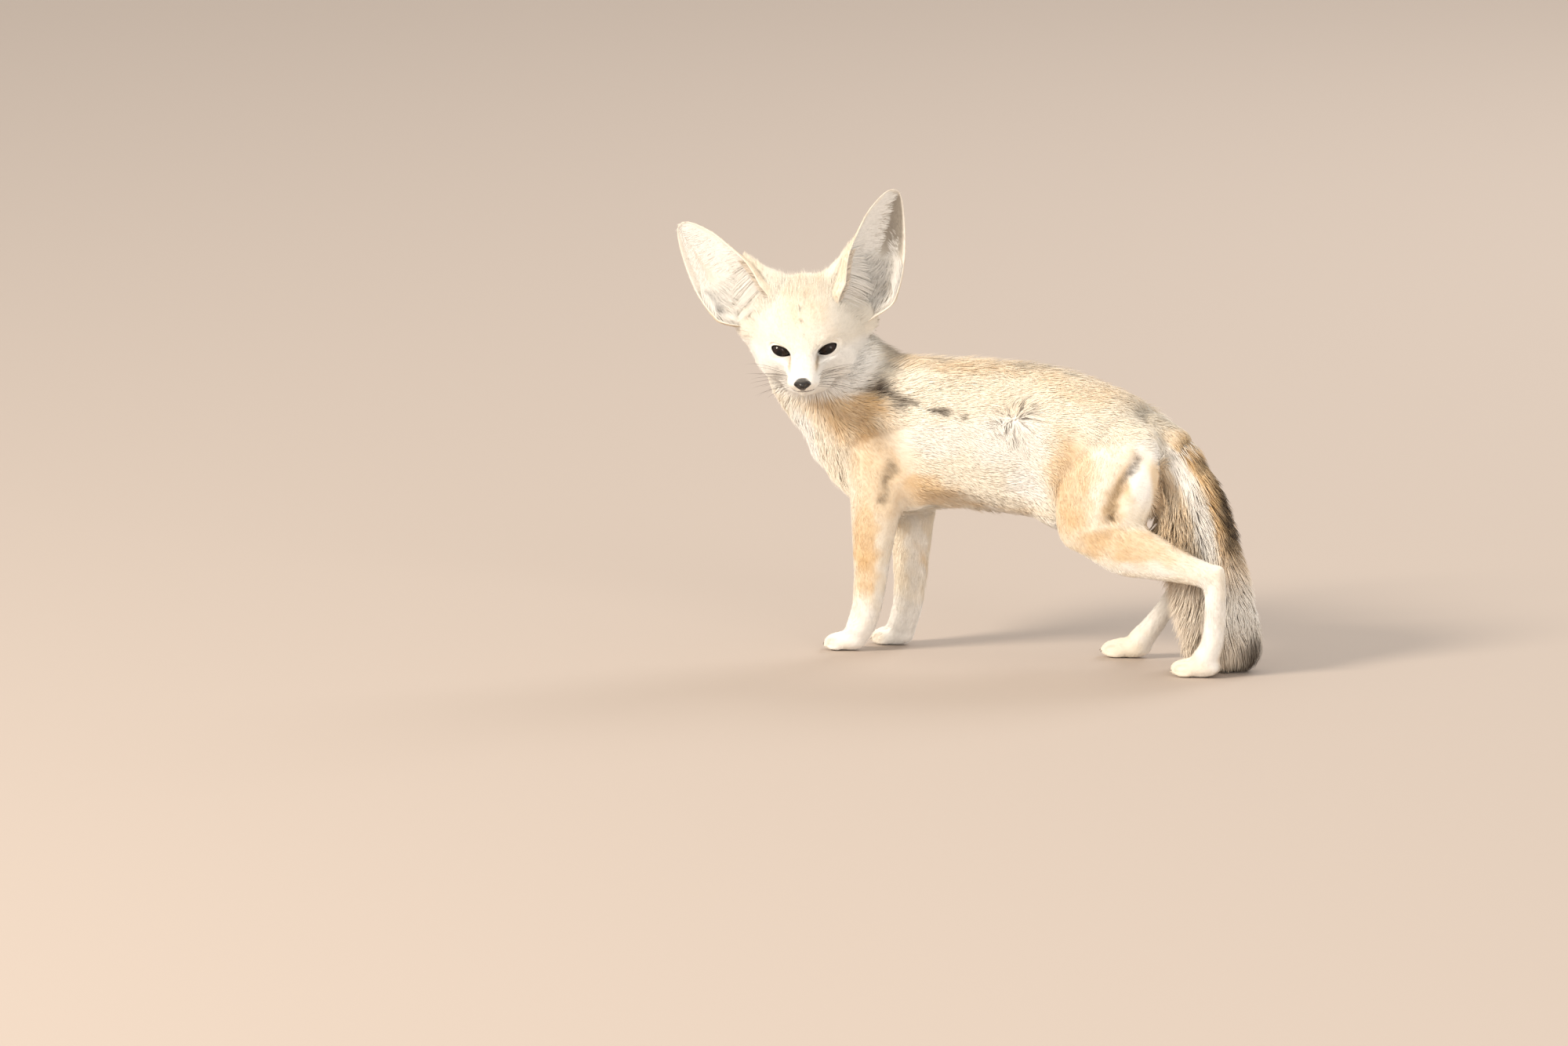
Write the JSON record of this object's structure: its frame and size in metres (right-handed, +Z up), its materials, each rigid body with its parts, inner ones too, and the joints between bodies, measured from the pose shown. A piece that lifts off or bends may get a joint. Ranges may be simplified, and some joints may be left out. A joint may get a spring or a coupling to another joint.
{
  "type": "fennec fox figure",
  "caption": "Life-size still model of a standing fennec fox, one hind leg stretched back, head turned to its left, brush lowered to the floor.",
  "frame": {"origin": "on the floor, under the middle of the part's box", "axes": "the fox's body faces -X and its left side faces -Y, +Z is up from the floor"},
  "size_m": [0.4324, 0.1462, 0.3343],
  "materials": {
    "coat_golden": "dense fur, sandy gold with dark tips along the back",
    "coat_face": "short soft fur, cream",
    "coat_ear": "very short fur outside, long white hair inside",
    "coat_legs": "short fur, golden outside and white inside",
    "coat_paws": "short fur, off-white",
    "coat_tail": "long bushy fur, dark along the top and at the tip",
    "eyeball": "wet dark brown",
    "nose_skin": "moist black leathery skin"
  },
  "bodies": {
    "root": {"torso": "coat_golden", "neck": "coat_golden", "head": "coat_face", "nose": "nose_skin", "ear_left": "coat_ear", "ear_right": "coat_ear", "eye_left": "eyeball", "eye_right": "eyeball", "foreleg_left": "coat_legs", "foreleg_right": "coat_legs", "forepaw_left": "coat_paws", "forepaw_right": "coat_paws", "hindleg_left": "coat_legs", "hindleg_right": "coat_legs", "hindpaw_left": "coat_paws", "hindpaw_right": "coat_paws", "tail": "coat_tail"}
  },
  "joints": []
}
